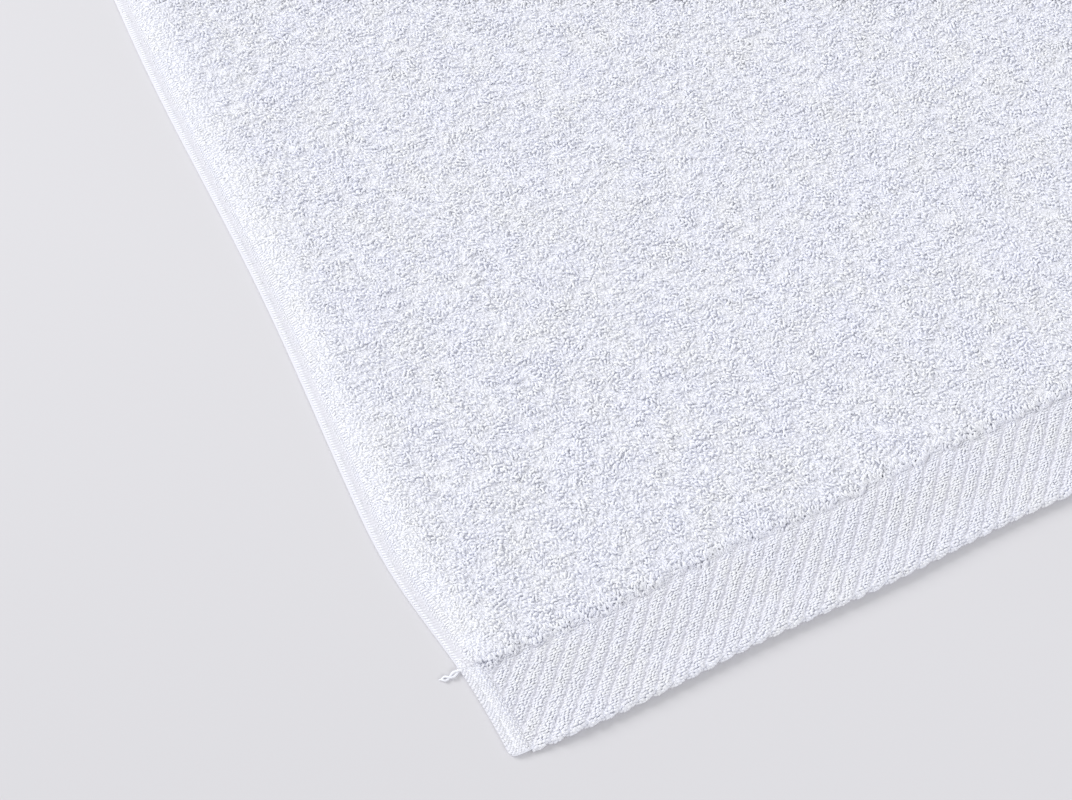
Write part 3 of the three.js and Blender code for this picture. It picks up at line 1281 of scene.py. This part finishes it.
def fringe_spots(form):
    """The long loops that lean over the near border, in uneven rows from low to high."""
    rng = random.Random(SEED + 4)
    spots = []
    for row in FRINGE_ROWS:
        for i in range(int(FRINGED_WIDTH / form.fringe_step)):
            across = -form.half_width + form.side_hem_width + (i + rng.random()) * form.fringe_step
            wave = noise.noise(Vector((across * FRINGE_WAVES, row.inward * 0.3, 0.7)))
            ragged = wave * FRINGE_DEPTH - OVER_BORDER
            along = -form.half_length + form.border_depth + (row.inward + ragged + rng.gauss(0, 0.3)) * MM
            x, y = form.place(across, along)
            if rng.random() > form.loops_share(x, y):
                continue
            flat = form.flat_top(across, along) + form.border_lift(across, along)
            full = form.terry_thickness - form.swell_depth(across, along) - flat
            full *= form.rise_from_hem(across, along)
            level = flat + full * row.height - form.yarn_height * 0.5
            level += rng.gauss(0, FRINGE_SPREAD.level) * MM
            upward = Vector((rng.gauss(0, 0.15), -row.tilt, 1)).normalized()
            turn = uneven_turn(rng, upward, math.pi / 2, FRINGE_SPREAD)
            size = varied(rng, FRINGE_SIZES)
            shape = rng.randrange(len(FRINGE_SHAPES))
            # Painted shade: the low rows of the fringe, under the higher ones, are darker
            shade = FRINGE_SHADE * (1 - row.height)
            spots.append(Spot((x, y, level), turn, size, shape, rng.random(), shade))
    return spots


class BATHSHEET_OT_loops(bpy.types.Operator):
    """Set the loops of the pile, in a few pieces"""

    bl_idname = "bathsheet.loops"
    bl_label = "Terry loops"

    def execute(self, context):
        form = ClothForm()
        shapes = [loop_shape(shape, form) for shape in LOOP_SHAPES]
        add_scattered("terry_loops", loop_spots(form), shapes)
        shapes = [loop_shape(shape, form) for shape in FRINGE_SHAPES]
        add_scattered("terry_fringe", fringe_spots(form), shapes)
        return {"FINISHED"}


def float_shape(form):
    """One floating weft yarn, a metre long before its spot's size shortens it, along +X."""
    low = -form.float_height * 0.3
    path = [(-0.5, 0, low), (-0.38, 0, 0), (0.38, 0, 0), (0.5, 0, low)]
    return bean("float", path, form.float_width, form.float_height)


def floats_in_repeat(pick, repeat, form, rng):
    """The floats of one pick from its crease to the next: where each begins and ends."""
    edge = pick.gap * MM / 2
    hole = pick.hole_width * MM / 2
    runs = [(edge, repeat - edge)]
    if hole:
        runs = [(edge, pick.hole * MM - hole), (pick.hole * MM + hole, repeat - edge)]
    floats = []
    for start, end in runs:
        count = max(round((end - start) / form.float_length), 1)
        step = (end - start) / count
        shift = rng.uniform(-0.5, 0.5)
        cuts = [start + (k + shift + rng.uniform(-CUT_JITTER, CUT_JITTER)) * step for k in range(1, count)]
        starts = [start, *(cut - form.float_lap for cut in cuts)]
        ends = [*(cut + form.float_lap for cut in cuts), end]
        floats += zip(starts, ends)
    return floats


def float_spots(form):
    """Every float of the near border's weave. The creases climb as a stair from pick to pick."""
    rng = random.Random(SEED + 1)
    repeat = 2 * form.half_width / form.repeats_across
    pick_pitch = form.row_pitch / len(PICKS)
    spots = []
    for i in range(math.ceil((form.border_depth + UNDER_FRINGE * MM) / pick_pitch)):
        row, number = divmod(i, len(PICKS))
        pick = PICKS[number]
        for column in range(-1, int(WOVEN_WIDTH / repeat)):
            crease = -form.half_width + (column + row * 0.5 % 1) * repeat + pick.crease * MM
            for start, end in floats_in_repeat(pick, repeat, form, rng):
                across = crease + (start + end) / 2
                way = (i + 0.1) * pick_pitch
                at_end = 1 - smooth(way, 0.5 * MM, 8 * MM)
                aside = rng.gauss(0, PICK_JITTER + PICK_JITTER * at_end) * MM
                along = form.along_the_fold(across, way + aside)
                x, y = form.place(across, along)
                shown = form.loops_share(x, y)
                if form.from_side(across) < form.side_band - 0.3 * MM or shown < LEAST_SHOWN:
                    continue
                in_band = math.cos(math.tau * (across - crease) / repeat)
                y -= form.scallop * (1 - in_band) * at_end
                upward = form.slope(form.ground_top, across, along)
                fall = 1 - clamp01((min(start, repeat - end) - pick.gap * MM / 2) / form.pillow_side)
                nod = math.copysign(CREASE_NOD * fall, start + end - repeat)
                slant = form.float_slant * (1 - (1 - END_SLANT) * at_end)
                turn = uneven_turn(rng, upward, slant, FLOAT_SPREAD, nod)
                raised = form.float_drop - form.pillow_fall * fall + rng.gauss(0, FLOAT_SPREAD.level) * MM
                under_fringe = smooth(way, form.border_depth - UNDER_FRINGE * MM, form.border_depth)
                raised += FRINGE_RISE * MM * under_fringe
                raised -= (1 - shown) * (form.float_drop + form.float_height / 2)
                spot = Vector((x, y, form.ground_top(across, along))) + upward * raised
                wide, high = varied(rng, FLOAT_SIZES)
                size = (end - start, wide + END_WIDENING * at_end, high)
                # Painted shade: floats beside a crease are darker, with a little on every float
                shade = FLOAT_SHADE + CREASE_SHADE * fall
                spots.append(Spot(tuple(spot), turn, size, 0, rng.random(), shade))
    return spots


class BATHSHEET_OT_border(bpy.types.Operator):
    """Set the floats of the near border's weave"""

    bl_idname = "bathsheet.border"
    bl_label = "Border weave"

    def execute(self, context):
        form = ClothForm()
        add_scattered("border_floats", float_spots(form), [float_shape(form)])
        return {"FINISHED"}


def rib_shape(form):
    """One rib of the side hem, a metre long before its spot's size shortens it, along +X."""
    low = -form.rib_height
    path = [(0, 0, low), (0.06, 0, 0), (0.94, 0, 0), (1, 0, low)]
    return bean("rib", path, form.rib_width, form.rib_height)


def rib_spot(form, side, along, outer, inner, rng):
    """One rib between two distances from a side edge."""
    ends = []
    for from_side in (outer, inner):
        across = side * (form.half_width - from_side)
        ends.append(Vector((*form.place(across, along), form.ground_top(across, along))))
    run = ends[1] - ends[0]
    turn = run.to_track_quat("X", "Z").to_euler()
    place = ends[0] - Vector((0, 0, rng.uniform(0.05, 0.2) * MM))
    return Spot(tuple(place), tuple(turn), (run.length, rng.uniform(0.85, 1.1), 1), 0, rng.random())


def rib_spots(form):
    """The ribs of both side hems. Where the picture shows them, a groove with small knots parts them."""
    rng = random.Random(SEED + 2)
    spots = []
    count = int((2 * form.half_length - 2 * form.border_depth) / form.rib_pitch)
    for side in (-1, 1):
        for i in range(count):
            along = -form.half_length + form.border_depth + (i + 0.5) * form.rib_pitch
            along += rng.gauss(0, 0.06) * MM
            hem_middle = side * (form.half_width - form.side_hem_width / 2)
            covered = form.in_from_hem(hem_middle, along) > 0
            inner = form.side_hem_width + rng.uniform(0, 1.5) * MM
            if form.loops_share(*form.place(hem_middle, along)) < 0.5:
                if not covered:
                    spots.append(rib_spot(form, side, along, form.rib_start, inner, rng))
                continue
            groove_start = form.groove_start + rng.uniform(0, 0.8) * MM
            spots.append(rib_spot(form, side, along, form.rib_start, groove_start, rng))
            if covered:
                continue
            groove_end = form.groove_end - rng.uniform(0, 0.6) * MM
            spots.append(rib_spot(form, side, along, groove_end, inner, rng))
            for row, from_side in enumerate(KNOT_ROWS):
                across = side * (form.half_width - from_side * MM) + rng.gauss(0, 0.12) * MM
                here = along + row % 2 * 0.5 * form.rib_pitch
                turn = turn_on(Vector((0, 0, 1)), rng.gauss(0, 0.5), 0, 0)
                level = form.ground_top(across, here) + rng.uniform(-0.2, 0.1) * MM
                size = (*varied(rng, KNOT_SIZES), KNOT_HEIGHT)
                spots.append(Spot((*form.place(across, here), level), turn, size, 1, rng.random()))
    return spots


def bump_shape(form):
    """One small bump of the plain weave in the border's side band."""
    half = form.bump_pitch * 0.52
    low = -BUMP_SINK * MM
    path = [(-half, 0, low), (-half * 0.5, 0, 0), (half * 0.5, 0, 0), (half, 0, low)]
    return bean("bump", path, form.bump_pitch * BUMP_WIDTH, BUMP_HEIGHT * MM)


def stitch_shape(form):
    """One straight stitch of the hem, along +Y."""
    half = form.stitch_pitch * 0.46
    low = -STITCH_SINK * MM
    path = [(0, -half, low), (0, -half * 0.6, 0), (0, half * 0.6, 0), (0, half, low)]
    return bean("stitch", path, STITCH_WIDTH * MM, STITCH_HEIGHT * MM)


def band_spots(form):
    """The small bumps of the plain weave along the near border's shown side, and the hem's stitches."""
    rng = random.Random(SEED + 3)
    spots = []
    column_step = form.bump_pitch * 1.05
    row_step = form.bump_pitch * 0.72
    for row in range(int((form.border_depth + 1.5 * MM) / row_step)):
        for column in range(int(form.side_band / column_step) + 1):
            across = -form.half_width + 0.9 * MM + (column + row % 2 * 0.5) * column_step
            along = -form.half_length + 1.0 * MM + row * row_step
            across += rng.gauss(0, 0.1) * MM
            along += rng.gauss(0, 0.08) * MM
            if form.from_side(across) > form.side_band - 0.6 * MM:
                continue
            if abs(form.from_side(across) - form.stitch_line) < 0.5 * MM:
                continue
            x, y = form.place(across, along)
            upward = form.slope(form.ground_top, across, along)
            turn = uneven_turn(rng, upward, 0, BUMP_SPREAD)
            level = form.ground_top(across, along) + rng.gauss(BUMP_LEVEL, BUMP_SPREAD.level) * MM
            size = varied(rng, BUMP_SIZES)
            # Painted shade: every bump of the side band is darkened evenly towards shaded cotton
            spots.append(Spot((x, y, level), turn, size, 0, rng.random(), BUMP_SHADE))
    for i in range(int((form.border_depth - 3 * MM) / form.stitch_pitch)):
        across = -form.half_width + form.stitch_line
        along = -form.half_length + 2.5 * MM + i * form.stitch_pitch
        x, y = form.place(across, along)
        level = form.ground_top(across, along) + STITCH_LEVEL * MM
        turn = turn_on(form.slope(form.ground_top, across, along), rng.gauss(0, 0.04), 0, 0)
        spots.append(Spot((x, y, level), turn, (1, 1, 1), 1, rng.random()))
    return spots


class BATHSHEET_OT_hems(bpy.types.Operator):
    """Set the ribs of both side hems, and the bumps and stitches where the hem crosses the border"""

    bl_idname = "bathsheet.hems"
    bl_label = "Side hems"

    def execute(self, context):
        form = ClothForm()
        add_scattered("hem_ribs", rib_spots(form), [rib_shape(form), bump_shape(form)])
        add_scattered("hem_band", band_spots(form), [bump_shape(form), stitch_shape(form)])
        return {"FINISHED"}


def smooth_route(points, steps):
    """A smooth curve through a few points."""
    route = []
    last = len(points) - 1
    for i in range(last):
        before, start, end, after = (points[min(max(k, 0), last)] for k in (i - 1, i, i + 1, i + 2))
        leaving = start + (end - before) / 6
        arriving = end - (after - start) / 6
        route += interpolate_bezier(start, leaving, arriving, end, steps)[:-1]
    return [*route, points[-1]]


class BATHSHEET_OT_thread(bpy.types.Operator):
    """Lay the loose thread at the shown side edge, just past the border: two plies around each other"""

    bl_idname = "bathsheet.thread"
    bl_label = "Loose thread"

    def execute(self, context):
        weave = settings().weave
        route = smooth_route([Vector(point) * MM for point in THREAD_ROUTE], ROUTE_STEPS)
        radius = weave.thread_width / 2
        bm = bmesh.new()
        for start in (0, math.pi):
            ply = []
            radii = []
            for i, (point, frame_here) in enumerate(zip(route, path_frames(route))):
                part = i / (len(route) - 1)
                turn = start + part * weave.thread_turns * math.tau
                aside = Vector((math.cos(turn), math.sin(turn) * PLY_FLATNESS, 0)) * weave.thread_spread
                ply.append(point + frame_here.to_3x3() @ aside * (1 - smooth(part, 0.7, 1)))
                radii.append(radius * (1 - 0.7 * smooth(part, 0.75, 1)))
            add_tube(bm, ply, radii, PLY_SIDES)
        mesh = mesh_from("loose_thread", bm)
        store(mesh, "tone", "FLOAT", [0.5] * len(mesh.vertices))
        add_piece("loose_thread", mesh, yarn_material())
        return {"FINISHED"}


class BATHSHEET_OT_cloth(bpy.types.Operator):
    """Make the ground sheet, on which everything else stands"""

    bl_idname = "bathsheet.cloth"
    bl_label = "Cloth"

    def execute(self, context):
        form = ClothForm()
        across_lines = mesh_lines(LINES_FROM_SIDE, 2 * form.half_width, FINE_MESH_WIDTH)
        along_lines = mesh_lines(LINES_FROM_END, 2 * form.half_length, FINE_MESH_LENGTH)
        columns = len(across_lines) - 1
        rows = len(along_lines) - 1
        bm = bmesh.new()
        bmesh.ops.create_grid(bm, x_segments=columns, y_segments=rows, size=0.5)
        stored = bm.verts.layers.float_vector.new("cloth_place")
        for vert in bm.verts:
            across = across_lines[round((vert.co.x + 0.5) * columns)]
            along = along_lines[round((vert.co.y + 0.5) * rows)]
            vert[stored] = (across, along, form.loops_share(*form.place(across, along)))
        upper = bmesh.ops.extrude_face_region(bm, geom=bm.faces[:], use_keep_orig=True)["geom"]
        upper = {item for item in upper if isinstance(item, bmesh.types.BMVert)}
        for vert in bm.verts:
            across, along = vert[stored].xy
            x, y = form.place(across, along)
            level = form.ground_top(across, along) if vert in upper else form.underside(across, along)
            vert.co = (x, y, level)
        mesh = mesh_from("bath_sheet_cloth", bm)
        print("cloth", triangle_count(mesh), "triangles")
        piece = add_piece("bath_sheet_cloth", mesh, cloth_material(form))
        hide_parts(NODE)
        return {"FINISHED"}


class BATHSHEET_PT_panel(bpy.types.Panel):
    """The bath sheet's sizes and its steps"""

    bl_idname = "BATHSHEET_PT_panel"
    bl_label = "Bath sheet"
    bl_space_type = "VIEW_3D"
    bl_region_type = "UI"
    bl_category = "Bath sheet"

    def draw(self, context):
        for step in STEPS:
            self.layout.operator(step.bl_idname)
        for part in BathSheetSettings.__annotations__:
            group = getattr(settings(), part)
            box = self.layout.box()
            for name in type(group).__annotations__:
                box.prop(group, name, text=name.replace("_", " ").capitalize())


STEPS = (
    BATHSHEET_OT_stage,
    BATHSHEET_OT_loops,
    BATHSHEET_OT_border,
    BATHSHEET_OT_hems,
    BATHSHEET_OT_thread,
    BATHSHEET_OT_cloth,
)
GROUPS = (ClothSizes, PileLook, WeaveLook, Finishes, Studio, BathSheetSettings)


def register():
    for item in (*GROUPS, *STEPS, BATHSHEET_PT_panel):
        bpy.utils.register_class(item)
    bpy.types.Scene.bath_sheet = PointerProperty(type=BathSheetSettings)


def unregister():
    del bpy.types.Scene.bath_sheet
    for item in reversed((*GROUPS, *STEPS, BATHSHEET_PT_panel)):
        bpy.utils.unregister_class(item)


def main():
    register()
    bpy.ops.bathsheet.stage()
    bpy.ops.bathsheet.loops()
    bpy.ops.bathsheet.border()
    bpy.ops.bathsheet.hems()
    bpy.ops.bathsheet.thread()
    bpy.ops.bathsheet.cloth()


if __name__ == "__main__":
    main()
